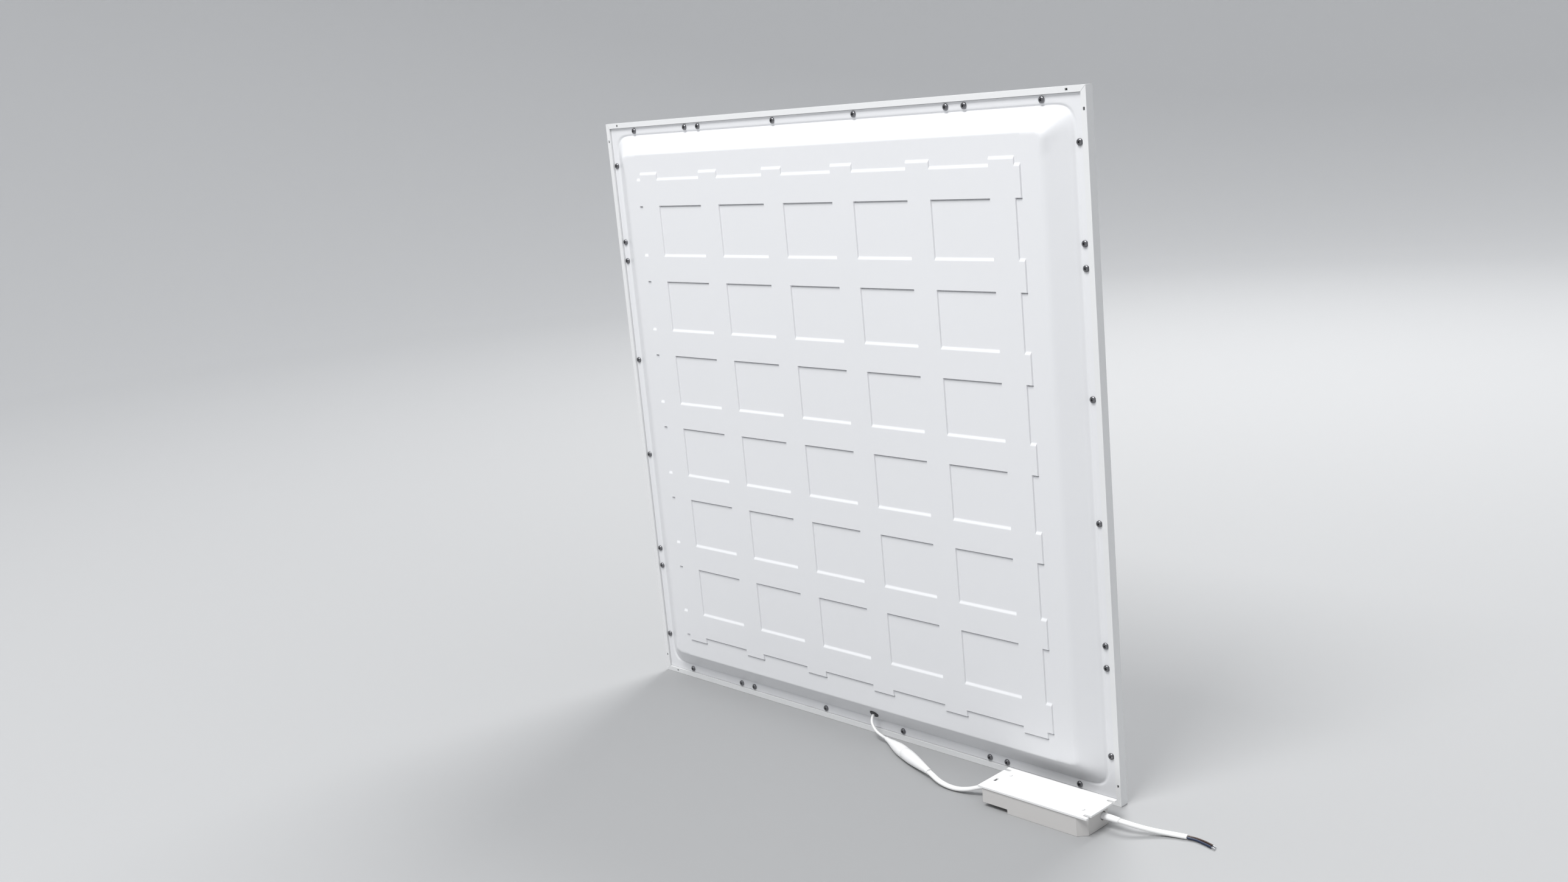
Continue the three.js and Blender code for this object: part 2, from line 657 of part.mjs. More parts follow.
function can(x, y, radius, long) {
  const z = seat + radius;
  const start = new THREE.Vector3(x, y - long / 2, z);
  const profile = [
    [0, 0], [radius * 0.9, 0], [radius, 0.6], [radius, long - 0.6], [radius * 0.9, long], [0, long],
  ];
  return turned(profile, 12, start, new THREE.Vector3(0, 1, 0));
}
add(driver, 'input_capacitor', can(-22, 4, 2.9, 16), finish(COLOURS.dark, 0.4));
add(driver, 'output_capacitor', can(17, -2, 2.9, 18), finish(COLOURS.dark, 0.4));

function choke() {
  const profile = [[2, -2.6], [5, -2.6], [5, 2.6], [2, 2.6], [2, -2.6]];
  return turned(profile, 14, new THREE.Vector3(-31.5, -8, seat + 2.6), new THREE.Vector3(0, 0, 1));
}
add(driver, 'input_choke', choke(), finish(COLOURS.brown, 0.5));
add(driver, 'power_transistor', block(25, 29.4, -13, -3, seat, roof - 0.6), finish(COLOURS.dark, 0.4));
add(driver, 'heat_plate', block(29.4 + GAP, 31.4, -16, 6, seat, roof), finish(COLOURS.zinc, 0.4, 0.8));
add(driver, 'input_terminals', block(-43.5, -37.5, -6, 6, seat, seat + 5), finish(COLOURS.whiteBoard, 0.5));

// Strain relief of the mains lead: it is held in the end wall and tapers along the lead
function mainsRelief() {
  const neck = MAINS_HOLE.radius - GAP;
  const long = RELIEF.inside + RELIEF.outside;
  const profile = [
    [0, 0], [neck + 0.2, 0], [neck + 0.2, 1.8], [neck, 1.8], [neck, RELIEF.inside + 0.6],
    [neck - 0.15, RELIEF.inside + 2], [3, long - 0.5], [2.8, long], [0, long],
  ];
  const from = new THREE.Vector3(-BASE.long / 2 + RELIEF.inside, MAINS_HOLE.y, MAINS_HOLE.z);
  return turned(profile, 14, from, new THREE.Vector3(-1, 0, 0), 0.78);
}
add(driver, 'mains_strain_relief', mainsRelief(), cableSheath);

// Clamps that press the leads' cores to the board's ends
function cordClamp(x0, x1, y) {
  const bar = solid(block(x0, x1, y - 7, y + 7, seat, seat + 5.6));
  const groove = solid(block(x0 - 1, x1 + 1, y - 2.6, y + 2.6, seat - 1, seat + 2.4));
  return geometryOf(bar.subtract(groove));
}
add(driver, 'output_cord_clamp', cordClamp(41, 45.5, 54.7 - DRIVER.y), finish(COLOURS.whiteBoard, 0.5));

export default group;
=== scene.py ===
"""Looks of a back-lit LED panel light, seen from behind, with its driver and leads. Metres, +Z up."""
import json
import math

import bmesh
import bpy
from mathutils import Matrix, Quaternion, Vector


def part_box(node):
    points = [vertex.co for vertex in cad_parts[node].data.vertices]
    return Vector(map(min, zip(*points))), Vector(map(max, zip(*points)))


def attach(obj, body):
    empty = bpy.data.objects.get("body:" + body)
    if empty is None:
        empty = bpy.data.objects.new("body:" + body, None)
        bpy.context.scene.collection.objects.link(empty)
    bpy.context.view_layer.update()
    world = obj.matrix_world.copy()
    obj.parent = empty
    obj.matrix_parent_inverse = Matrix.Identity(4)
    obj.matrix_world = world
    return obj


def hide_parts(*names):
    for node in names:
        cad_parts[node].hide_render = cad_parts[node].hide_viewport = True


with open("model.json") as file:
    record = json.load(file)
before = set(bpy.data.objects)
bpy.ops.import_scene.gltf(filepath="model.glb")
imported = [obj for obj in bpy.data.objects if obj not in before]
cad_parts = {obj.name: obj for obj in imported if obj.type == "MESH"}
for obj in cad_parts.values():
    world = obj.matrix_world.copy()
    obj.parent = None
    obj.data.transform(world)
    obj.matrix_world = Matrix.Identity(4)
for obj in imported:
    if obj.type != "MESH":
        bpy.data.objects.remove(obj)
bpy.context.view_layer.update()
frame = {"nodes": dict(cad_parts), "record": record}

PANEL, DRIVER_UNIT = "panel", "driver_unit"
MM = 0.001
UP = Vector((0, 0, 1))

# ---------------------------------------------------------------- places read from the frame
pan_low, pan_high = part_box("back_pan")
cover_low, cover_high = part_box("driver_cover")
frame_foot, frame_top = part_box("frame_bottom")[0].z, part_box("frame_top")[1].z
HALF = (frame_top - frame_foot) / 2
MIDDLE = (frame_top + frame_foot) / 2


# ---------------------------------------------------------------- camera
def make_camera():
    """Looks at the panel's rear from its driver side, a little from above and slightly rolled."""
    data = bpy.data.cameras.new("camera")
    camera = bpy.data.objects.new("camera", data)
    bpy.context.collection.objects.link(camera)
    data.sensor_width = 36
    data.lens = 36.28
    camera.location = (-1.022, 1.0244, 0.6099)
    azimuth, elevation, roll = (math.radians(a) for a in (227.07, 12.38, -5.41))
    back = Vector((
        math.sin(azimuth) * math.cos(elevation),
        -math.cos(azimuth) * math.cos(elevation),
        math.sin(elevation),
    ))
    camera.rotation_mode = "QUATERNION"
    level = (-back).to_track_quat("-Z", "Y")
    camera.rotation_quaternion = Quaternion(back, roll) @ level
    data.clip_start, data.clip_end = 0.05, 30
    bpy.context.scene.camera = camera


make_camera()


# ---------------------------------------------------------------- mesh helpers
def new_object(name, mesh, body=None):
    piece = bpy.data.objects.new(name, mesh)
    bpy.context.collection.objects.link(piece)
    if body:
        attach(piece, body)
    return piece


def mesh_from(name, vertices, faces):
    mesh = bpy.data.meshes.new(name)
    mesh.from_pydata([tuple(v) for v in vertices], [], faces)
    mesh.validate()
    mesh.update()
    for polygon in mesh.polygons:
        polygon.use_smooth = True
    return mesh


def smooth_by_angle(piece, degrees=35):
    """Smooth shading that stays sharp across folds."""
    mesh = piece.data
    for polygon in mesh.polygons:
        polygon.use_smooth = True
    bm = bmesh.new()
    bm.from_mesh(mesh)
    limit = math.radians(degrees)
    for edge in bm.edges:
        edge.smooth = not (len(edge.link_faces) == 2 and edge.calc_face_angle(0) > limit)
    bm.to_mesh(mesh)
    bm.free()


def catmull(points, steps=10):
    """A centripetal Catmull-Rom curve through given points, as the part's cords follow it."""
    pts = [Vector(p) for p in points]
    pts = [pts[0] * 2 - pts[1]] + pts + [pts[-1] * 2 - pts[-2]]
    line = []
    for i in range(1, len(pts) - 2):
        p0, p1, p2, p3 = pts[i - 1:i + 3]
        d0 = max((p1 - p0).length ** 0.5, 1e-6)
        d1 = max((p2 - p1).length ** 0.5, 1e-6)
        d2 = max((p3 - p2).length ** 0.5, 1e-6)
        m1 = ((p1 - p0) / d0 - (p2 - p0) / (d0 + d1) + (p2 - p1) / d1) * d1
        m2 = ((p2 - p1) / d1 - (p3 - p1) / (d1 + d2) + (p3 - p2) / d2) * d1
        for k in range(steps):
            t = k / steps
            line.append(
                p1 * (2 * t**3 - 3 * t**2 + 1) + m1 * (t**3 - 2 * t**2 + t)
                + p2 * (3 * t**2 - 2 * t**3) + m2 * (t**3 - t**2)
            )
    line.append(pts[-2])
    return line


def resample(line, spacing):
    """The same line with points an even distance apart."""
    lengths = [0.0]
    for a, b in zip(line, line[1:]):
        lengths.append(lengths[-1] + (b - a).length)
    count = max(2, round(lengths[-1] / spacing))
    out, i = [], 0
    for k in range(count + 1):
        want = lengths[-1] * k / count
        while i < len(lengths) - 2 and lengths[i + 1] < want:
            i += 1
        share = (want - lengths[i]) / max(lengths[i + 1] - lengths[i], 1e-9)
        out.append(line[i].lerp(line[i + 1], share))
    return out


def sweep(name, line, section):
    """A closed tube along a line. section is [across, up] pairs, and up stays as upright as it can."""
    vertices, faces = [], []
    n = len(section)
    for i, point in enumerate(line):
        ahead = line[min(i + 1, len(line) - 1)] - line[max(i - 1, 0)]
        ahead.normalize()
        across = ahead.cross(UP)
        across.normalize()
        up = across.cross(ahead)
        vertices += [point + across * a + up * b for a, b in section]
    for i in range(len(line) - 1):
        for k in range(n):
            a, b = i * n + k, i * n + (k + 1) % n
            faces.append((a, b, b + n, a + n))
    faces.append(tuple(reversed(range(n))))
    faces.append(tuple(range((len(line) - 1) * n, len(line) * n)))
    return mesh_from(name, vertices, faces)


def round_section(radius, sides=20):
    return [
        (radius * math.cos(2 * math.pi * k / sides), radius * math.sin(2 * math.pi * k / sides))
        for k in range(sides)
    ]


def twin_section(wide, thick, groove, sides=11):
    """Two round cores side by side under one sheath, with a shallow groove between them above and below."""
    r = thick / 2
    centre = wide / 2 - r
    right = [
        (centre + r * math.cos(a), r * math.sin(a))
        for a in (math.radians(-90 + 180 * k / (sides - 1)) for k in range(sides))
    ]
    left = [(-x, -y) for x, y in right]
    dip_top = [(centre * s, r - groove * (1 - abs(s)) ** 1.5) for s in (0.55, 0.25, 0, -0.25, -0.55)]
    dip_low = [(-x, -y) for x, y in dip_top]
    return right + dip_top + left + dip_low


def turned(name, profile, origin, direction, sides=48, flatten=1.0):
    """A turned solid. profile is [radius, height] pairs, from axis to axis or closed on itself."""
    turn = UP.rotation_difference(Vector(direction))
    closed = profile[0] == profile[-1]
    rows = profile[:-1] if closed else profile
    vertices, faces, rings = [], [], []
    for r, h in rows:
        if r < 1e-9:
            rings.append([len(vertices)] * sides)
            vertices.append(Vector((0, 0, h)))
            continue
        rings.append([len(vertices) + k for k in range(sides)])
        for k in range(sides):
            a = 2 * math.pi * k / sides
            vertices.append(Vector((r * math.cos(a), r * math.sin(a), h)))
    pairs = list(zip(rings, rings[1:]))
    if closed:
        pairs.append((rings[-1], rings[0]))
    for low, high in pairs:
        for k in range(sides):
            face = []
            for v in (low[k], low[(k + 1) % sides], high[(k + 1) % sides], high[k]):
                if v not in face:
                    face.append(v)
            if len(face) > 2:
                faces.append(tuple(face))
    placed = []
    for v in vertices:
        p = turn @ v
        placed.append(Vector(origin) + Vector((p.x, p.y, p.z * flatten)))
    mesh = mesh_from(name, placed, faces)
    bm = bmesh.new()
    bm.from_mesh(mesh)
    bmesh.ops.recalc_face_normals(bm, faces=bm.faces)
    bm.to_mesh(mesh)
    bm.free()
    return mesh


def in_mm(profile):
    return [(radius * MM, height * MM) for radius, height in profile]


# ---------------------------------------------------------------- materials
# The part of its range that a noise keeps to, so that nothing is clamped to a flat patch
NOISE_LOW, NOISE_HIGH = 0.2, 0.8


class Nodes:
    """A material's node tree, with short ways to add and join nodes."""

    def __init__(self, name, colour, roughness, metallic=0.0):
        self.material = bpy.data.materials.new(name)
        self.material.use_nodes = True
        self.tree = self.material.node_tree
        self.shader = self.tree.nodes["Principled BSDF"]
        self.set("Base Color", (*colour, 1))
        self.set("Roughness", roughness)
        self.set("Metallic", metallic)
        self.set("Specular IOR Level", 0.5)
        self.place = self.tree.nodes.new("ShaderNodeTexCoord").outputs["Object"]

    def set(self, socket, value):
        self.shader.inputs[socket].default_value = value

    def node(self, kind, **values):
        made = self.tree.nodes.new(kind)
        for key, value in values.items():
            setattr(made, key, value)
        return made

    def join(self, out, into):
        self.tree.links.new(out, into)

    def noise(self, scale, detail):
        noise = self.node("ShaderNodeTexNoise")
        noise.inputs["Scale"].default_value = scale
        noise.inputs["Detail"].default_value = detail
        self.join(self.place, noise.inputs["Vector"])
        return noise.outputs["Fac"]

    def ramp(self, value, stops, into):
        ramp = self.node("ShaderNodeValToRGB")
        elements = ramp.color_ramp.elements
        while len(elements) < len(stops):
            elements.new(0.5)
        for element, (place, colour) in zip(elements, stops):
            element.position = place
            element.color = (*colour, 1)
        self.join(value, ramp.inputs["Fac"])
        self.join(ramp.outputs["Color"], into)

    def span(self, value, low, high, into):
        """Maps a noise value to a range and joins it to a socket."""
        remap = self.node("ShaderNodeMapRange")
        remap.inputs["From Min"].default_value = NOISE_LOW
        remap.inputs["From Max"].default_value = NOISE_HIGH
        remap.inputs["To Min"].default_value = low
        remap.inputs["To Max"].default_value = high
        self.join(value, remap.inputs["Value"])
        self.join(remap.outputs["Result"], into)

    def bump(self, value, strength, distance):
        bump = self.node("ShaderNodeBump")
        bump.inputs["Strength"].default_value = strength
        bump.inputs["Distance"].default_value = distance
        self.join(value, bump.inputs["Height"])
        self.join(bump.outputs["Normal"], self.shader.inputs["Normal"])


def shade(colour, factor):
    return tuple(min(1.0, c * factor) for c in colour)


def surface(name, colour, roughness, metallic=0.0, vary=0.015, blotch=9.0, grain=900.0,
            grain_depth=0.04 * MM, strength=0.25):
    """A painted or moulded surface: slow colour drift, slow gloss drift and a fine grain."""
    made = Nodes(name, colour, roughness, metallic)
    tones = [(NOISE_LOW, shade(colour, 1 - vary)), (NOISE_HIGH, shade(colour, 1 + vary))]
    made.ramp(made.noise(blotch, 4), tones, made.shader.inputs["Base Color"])
    gloss = made.noise(blotch * 3, 3)
    made.span(gloss, roughness * 0.88, roughness * 1.12, made.shader.inputs["Roughness"])
    made.bump(made.noise(grain, 2), strength, grain_depth)
    return made.material


MATERIALS = {
    "frame_paint": surface("frame_paint", (0.80, 0.805, 0.807), 0.36, grain=1400),
    "pan_paint": surface("pan_paint", (0.80, 0.805, 0.82), 0.40, vary=0.008, blotch=5, grain=1100,
                         grain_depth=0.02 * MM),
    "diffuser": surface("diffuser", (0.82, 0.826, 0.85), 0.5, vary=0.01, grain=2200, strength=0.15),
    "screw_steel": surface("screw_steel", (0.22, 0.22, 0.23), 0.32, 1.0, vary=0.2, blotch=400, grain=2500),
    "zinc": surface("zinc", (0.16, 0.165, 0.17), 0.5, 1.0, vary=0.1, blotch=200),
    "led_board": surface("led_board", (0.84, 0.86, 0.86), 0.4),
    "grommet_rubber": surface("grommet_rubber", (0.055, 0.055, 0.06), 0.65, vary=0.1),
    "cable_sheath": surface("cable_sheath", (0.86, 0.86, 0.85), 0.38, vary=0.015, blotch=60, grain=1500),
    "white_plastic": surface("white_plastic", (0.90, 0.90, 0.895), 0.36, vary=0.008, blotch=20, grain=1800),
    "grey_plastic": surface("grey_plastic", (0.64, 0.625, 0.61), 0.48, vary=0.015, blotch=20, grain=1500),
    "tinned": surface("tinned", (0.62, 0.63, 0.65), 0.28, 1.0, vary=0.08, blotch=500),
    "circuit_board": surface("circuit_board", (0.03, 0.15, 0.07), 0.4),
    "tape_yellow": surface("tape_yellow", (0.70, 0.47, 0.05), 0.5),
    # Among the new pieces, only the block under the driver's slot wears dark_plastic, as painted shade.
    "dark_plastic": surface("dark_plastic", (0.03, 0.03, 0.033), 0.4),
    "core_brown": surface("core_brown", (0.045, 0.022, 0.014), 0.4, vary=0.2, blotch=120),
    "core_blue": surface("core_blue", (0.012, 0.022, 0.055), 0.4, vary=0.2, blotch=120),
}


def dress(piece, name):
    """Gives a new piece its material."""
    piece.data.materials.clear()
    piece.data.materials.append(MATERIALS[name])


def dress_frame():
    """Every carried-over CAD node takes the procedural material of its record slot."""
    for row in frame["record"]["subparts"]:
        piece = frame["nodes"][row["node"]]
        piece.data.materials.clear()
        piece.data.materials.append(MATERIALS[row["material_slot"]])


dress_frame()


# ---------------------------------------------------------------- cords, first
def mm(points):
    return [Vector(p) * MM for p in points]


# The connector: the middle of its seam, and the way that the plug pulls out
SEAM = Vector((-82, 35, 6.1)) * MM
PULL_ANGLE = math.radians(22)
PULL = Vector((-math.cos(PULL_ANGLE), math.sin(PULL_ANGLE), 0))
CONNECTOR_GAP = 0.3 * MM
CONNECTOR_RADIUS = 5.8 * MM
SOCKET_LONG = 40 * MM
PLUG_LONG = 48 * MM
PANEL_LEAD_WIDE = 2.6 * MM
TWIN_WIDE, TWIN_THICK = 5.2 * MM, 3.2 * MM

# The pan's section: FOOT and PLATEAU are distances in from the panel's edge
FOOT, PLATEAU = 14.5 * MM, 33 * MM
SHEET = 0.6 * MM
EMBOSS = 1.4 * MM
FLANGE = pan_low.y + SHEET
PLATEAU_REAR = pan_high.y - EMBOSS
SLOPE_OUT = Vector((0, PLATEAU - FOOT, -(PLATEAU_REAR - FLANGE))).normalized()

# The grommet's hole in the pan's bottom slope
HOLE_X, HOLE_Z = -20.5 * MM, 22 * MM
LEAD_HOLE = Vector((HOLE_X, FLANGE + (PLATEAU_REAR - FLANGE) * (HOLE_Z - FOOT) / (PLATEAU - FOOT), HOLE_Z))

lead_start = LEAD_HOLE - SLOPE_OUT * 0.8 * MM
PANEL_LEAD_ROUTE = [lead_start, lead_start + SLOPE_OUT * 4.2 * MM] + mm([
    (-22.8, 15, 16.4), (-26.6, 17, 12.6), (-31.6, 18.2, 9.2), (-37.8, 18.6, 7),
]) + [SEAM - PULL * (SOCKET_LONG + CONNECTOR_GAP)]
DRIVER_LEAD_ROUTE = [SEAM + PULL * (PLUG_LONG + 2 * CONNECTOR_GAP)] + mm([
    (-134, 55.9, 5.4), (-143, 58.6, 3.8), (-154, 60, 2.6), (-165, 59.6, 2.6), (-176, 57.8, 4.6),
    (-186, 55.6, 8), (-193, 54.8, 10.2), (-198.6, 54.7, 10.7),
])
MAINS_LEAD_ROUTE = mm([
    (-321.3, 41, 9.2), (-323.3, 40.95, 9.15), (-329, 39.9, 8.4), (-336, 37, 6.7), (-343.5, 32.9, 4.7),
    (-351, 28.8, 3.1), (-358.5, 25.4, 2.2), (-365.5, 23.1, 1.8), (-371.2, 21.6, 1.75),
])


def make_cord(name, route, section, body, stands_for):
    """A lead's sheath along its route; gives the piece and the line that it follows."""
    line = resample(catmull(route, 12), 0.8 * MM)
    piece = new_object(name, sweep(name, line, section), body)
    smooth_by_angle(piece, 50)
    dress(piece, "cable_sheath")
    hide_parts(stands_for)
    return piece, line


panel_lead, panel_line = make_cord(
    "panel_lead_sheath", PANEL_LEAD_ROUTE, round_section(PANEL_LEAD_WIDE / 2), PANEL, "panel_lead")
twin = twin_section(TWIN_WIDE, TWIN_THICK, 0.5 * MM)
driver_lead, driver_line = make_cord(
    "driver_lead_sheath", list(reversed(DRIVER_LEAD_ROUTE)), twin, DRIVER_UNIT, "driver_lead")
mains_lead, mains_line = make_cord("mains_lead_sheath", MAINS_LEAD_ROUTE, twin, DRIVER_UNIT, "mains_lead")


# ---------------------------------------------------------------- connector halves
def socket_piece():
    """The moulded socket: a long taper from the lead to a round collar, with its bore open at the seam."""
    r, long, bore = CONNECTOR_RADIUS / MM, SOCKET_LONG / MM, 2.9
    profile = [
        (0, 0), (1.7, 0), (1.95, 0.3), (2.05, 2), (2.3, 5), (2.8, 9), (3.5, 13), (4.3, 18), (5, 23),
        (5.5, 27), (r - 0.06, 30.5), (r, 34), (r, long - 0.6), (r - 0.2, long - 0.15), (r - 0.5, long),
        (bore + 0.15, long), (bore, long - 0.2), (bore, 28), (1.2, 28), (1.2, 25), (0, 25),
    ]
    mesh = turned("socket_shell", in_mm(profile), SEAM - PULL * SOCKET_LONG, PULL)
    piece = new_object("socket_shell", mesh, PANEL)
    smooth_by_angle(piece, 40)
    dress(piece, "white_plastic")
    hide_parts("socket_half")
    return piece


def plug_piece():
    """The moulded plug: a round collar at the seam, then a long taper with shallow flex rings."""
    r, long, bore = CONNECTOR_RADIUS / MM, PLUG_LONG / MM, 2.9
    profile = [
        (0, 3.3), (bore, 3.3), (bore, 0.2), (bore + 0.15, 0), (r - 0.5, 0), (r - 0.2, 0.15), (r, 0.6), (r, 8),
        (r - 0.08, 12), (5.5, 16), (5.2, 20), (4.75, 25.5), (4.25, 31),
    ]
    at, radius, groove = 32.0, 4.15, 0.35
    while at < 43:
        floor = radius - groove
        profile += [(radius, at), (floor, at + 0.35), (floor, at + 0.95), (radius - 0.1, at + 1.3)]
        at += 2.2
        radius -= 0.2
    profile += [(2.95, 44), (2.9, long - 0.4), (2.6, long), (0, long)]
    mesh = turned("plug_shell", in_mm(profile), SEAM + PULL * CONNECTOR_GAP, PULL)
    piece = new_object("plug_shell", mesh, DRIVER_UNIT)
    smooth_by_angle(piece, 40)
    dress(piece, "white_plastic")
    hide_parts("plug_half")
    return piece


socket_shell = socket_piece()
plug_shell = plug_piece()


# ---------------------------------------------------------------- mains cores
# The cores run on from the sheath's end: forward, sideways and height, and how far each stands aside
CORE_SIDES = {"mains_core_live": 1, "mains_core_neutral": -1}
CORE_ROUTE = [(0.5, 0, 1.6), (7, -0.6, 1.3), (16, -4, 1.1), (25.5, -9.7, 1.1)]
CORE_APART = [1.2, 1.3, 1.6, 1.4]
CORE_RADIUS, STRANDS_RADIUS = 0.95 * MM, 0.62 * MM
INSULATION_SHARE = 0.86
sheath_end = MAINS_LEAD_ROUTE[-1]
sheath_way = MAINS_LEAD_ROUTE[-1] - MAINS_LEAD_ROUTE[-2]
sheath_way.z = 0
sheath_way.normalize()


def core_piece(name, side):
    """One insulated core: its sheath of colour, and its bare tinned strands at the tip."""
    route = []
    for (forward, sideways, height), apart in zip(CORE_ROUTE, CORE_APART):
        out = (sideways + side * apart) * MM
        point = sheath_end + sheath_way * forward * MM
        point += Vector((-sheath_way.y, sheath_way.x, 0)) * out
        point.z = height * MM
        route.append(point)
    line = resample(catmull(route, 14), 0.5 * MM)
    cut = int(len(line) * INSULATION_SHARE)
    mesh = sweep(name + "_sheath", line[:cut], round_section(CORE_RADIUS, 16))
    sheath = new_object(name + "_sheath", mesh, DRIVER_UNIT)
    smooth_by_angle(sheath, 50)
    dress(sheath, "core_brown" if side > 0 else "core_blue")
    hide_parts(name)
    strands = strand_bundle(name + "_strands", line[cut - 2:], STRANDS_RADIUS)
    smooth_by_angle(strands, 50)
    dress(strands, "tinned")
    return [sheath, strands]


def strand_bundle(name, line, radius):
    """Seven tinned strands, twisted round each other."""
    joined = bmesh.new()
    for k in range(7):
        strand = []
        for i, point in enumerate(line):
            ahead = (line[min(i + 1, len(line) - 1)] - line[max(i - 1, 0)]).normalized()
            across = ahead.cross(UP).normalized()
            up = across.cross(ahead)
            angle = 2 * math.pi * k / 6 + i * 0.22
            off = 0 if k == 6 else radius * 0.62
            strand.append(point + (across * math.cos(angle) + up * math.sin(angle)) * off)
        mesh = sweep(name, strand, round_section(radius * 0.36, 8))
        joined.from_mesh(mesh)
        bpy.data.meshes.remove(mesh)
    mesh = bpy.data.meshes.new(name)
    joined.to_mesh(mesh)
    joined.free()
    return new_object(name, mesh, DRIVER_UNIT)


cores = []
for core_name, core_side in CORE_SIDES.items():
    cores += core_piece(core_name, core_side)


# ---------------------------------------------------------------- the pressed back pan
SCREW_ROW = 9 * MM
SCREWS = [a * MM for a in (-254.5, -176, -156.5, -51.5, 51.5, 156.5, 176, 254.5)]
SCREWS_IN_CAD = {-254.5, -156.5, 156.5, 254.5}

# The raised lattice: bands run across, ribs run upright, and both end in tabs past the outer ones
ROWS, RIBS = 7, 6
BAND_PITCH, RIB_PITCH = 75.8 * MM, 88.8 * MM
BAND_HALF, RIB_HALF = 13.2 * MM, 12.9 * MM
TAB = 5.8 * MM
RIB_REACH = (RIBS - 1) * RIB_PITCH / 2
BAND_REACH = (ROWS - 1) * BAND_PITCH / 2

# How wide each pressed edge is, the crease under the lower ones, the pan's corners and the groove at its foot
EDGE_UP, EDGE_DOWN, EDGE_SIDE = 3.2 * MM, 0.3 * MM, 0.5 * MM
CREASE_WIDE, CREASE_DEEP = 1.15 * MM, 1.3 * MM
CORNER = 28 * MM
GROOVE = 0.9 * MM

# Grid lines of the pan's mesh, in mm from each bend: beside edges of each kind, and in from the panel's edge
UPPER_LINES = [EDGE_UP / MM * k / 12 for k in range(-6, 7)] + [-2.3, 2.3]
LOWER_LINES = [0.8, 0.2, 0.15, 0.05, -0.08, -0.16, -0.9, -1.15, -1.2, -1.9]
SIDE_LINES = [-0.8, -0.3, -0.25, -0.09, 0.09, 0.25, 0.3, 0.8]
WALL_LINES = [6, 7, 8, 9, 10, 11, 12] + [12.3 + k * 0.6 for k in range(44)] + [40, 42]
WIDE_GAP, FLAT_STEP = 14, 12


def ease(t):
    t = max(0.0, min(1.0, t))
    return t * t * (3 - 2 * t)


def wall_height(x, z):
    """Height of the pan above its flange: groove at the foot, slope, plateau. Sides are softer than ends."""
    ax, az = abs(x), abs(z)
    centre = HALF - FOOT - CORNER
    u, w = max(ax - centre, 0), max(az - centre, 0)
    inset = CORNER - (u**4 + w**4) ** 0.25
    side = ease(0.5 + (ax - az) / (40 * MM))
    run = (PLATEAU - FOOT) * (1 - side) * 0.95 + (PLATEAU - FOOT + 4 * MM) * side
    foot_bend = 0.05 + 0.12 * side
    top_bend = 0.05 + 0.14 * side
    t = inset / run
    if t <= -foot_bend:
        rise = 0.0
    elif t < foot_bend:
        rise = (t + foot_bend) ** 2 / (4 * foot_bend)
    elif t < 1 - top_bend:
        rise = t
    elif t < 1 + top_bend:
        rise = 1 - (1 + top_bend - t) ** 2 / (4 * top_bend)
    else:
        rise = 1.0
    groove = GROOVE * math.exp(-((inset + 1.1 * MM) / (1.0 * MM + 0.8 * MM * side)) ** 2)
    return rise * (PLATEAU_REAR - FLANGE) - groove


def step_up(distance, width):
    """1 well inside a pressed edge, 0 well outside it."""
    return ease(0.5 - distance / width)


def crease(below):
    """1 in the narrow crease under a lower edge, 0 elsewhere; below is the distance under that edge."""
    return max(0.0, min(1.0, below / (0.15 * MM), (CREASE_WIDE - below) / (0.25 * MM)))


def emboss_height(x, z):
    """Height of the pressed lattice. Upper edges are round, and a crease runs under each lower edge."""
    row = round(z / BAND_PITCH)
    row = max(-(ROWS - 1) / 2, min((ROWS - 1) / 2, row))
    rib = round(x / RIB_PITCH - 0.5) + 0.5
    rib = max(-(RIBS - 1) / 2, min((RIBS - 1) / 2, rib))
    from_row, from_rib = z - row * BAND_PITCH, abs(x - rib * RIB_PITCH) - RIB_HALF
    past_bands = abs(x) - (RIB_REACH + RIB_HALF + TAB)
    past_ribs = BAND_REACH + BAND_HALF + TAB
    band_ends, rib_sides = step_up(past_bands, EDGE_SIDE), step_up(from_rib, EDGE_SIDE)
    band = min(
        step_up(from_row - BAND_HALF, EDGE_UP), step_up(-from_row - BAND_HALF, EDGE_DOWN), band_ends,
    )
    bar = min(rib_sides, step_up(z - past_ribs, EDGE_UP), step_up(-z - past_ribs, EDGE_DOWN))
    below_band = crease(-from_row - BAND_HALF) * band_ends * (1 - bar)
    below_rib = crease(-z - past_ribs) * rib_sides
    return EMBOSS * max(band, bar) - CREASE_DEEP * max(below_band, below_rib)


def band_rows():
    return [row - (ROWS - 1) / 2 for row in range(ROWS)]


def rib_columns():
    return [rib - (RIBS - 1) / 2 for rib in range(RIBS)]


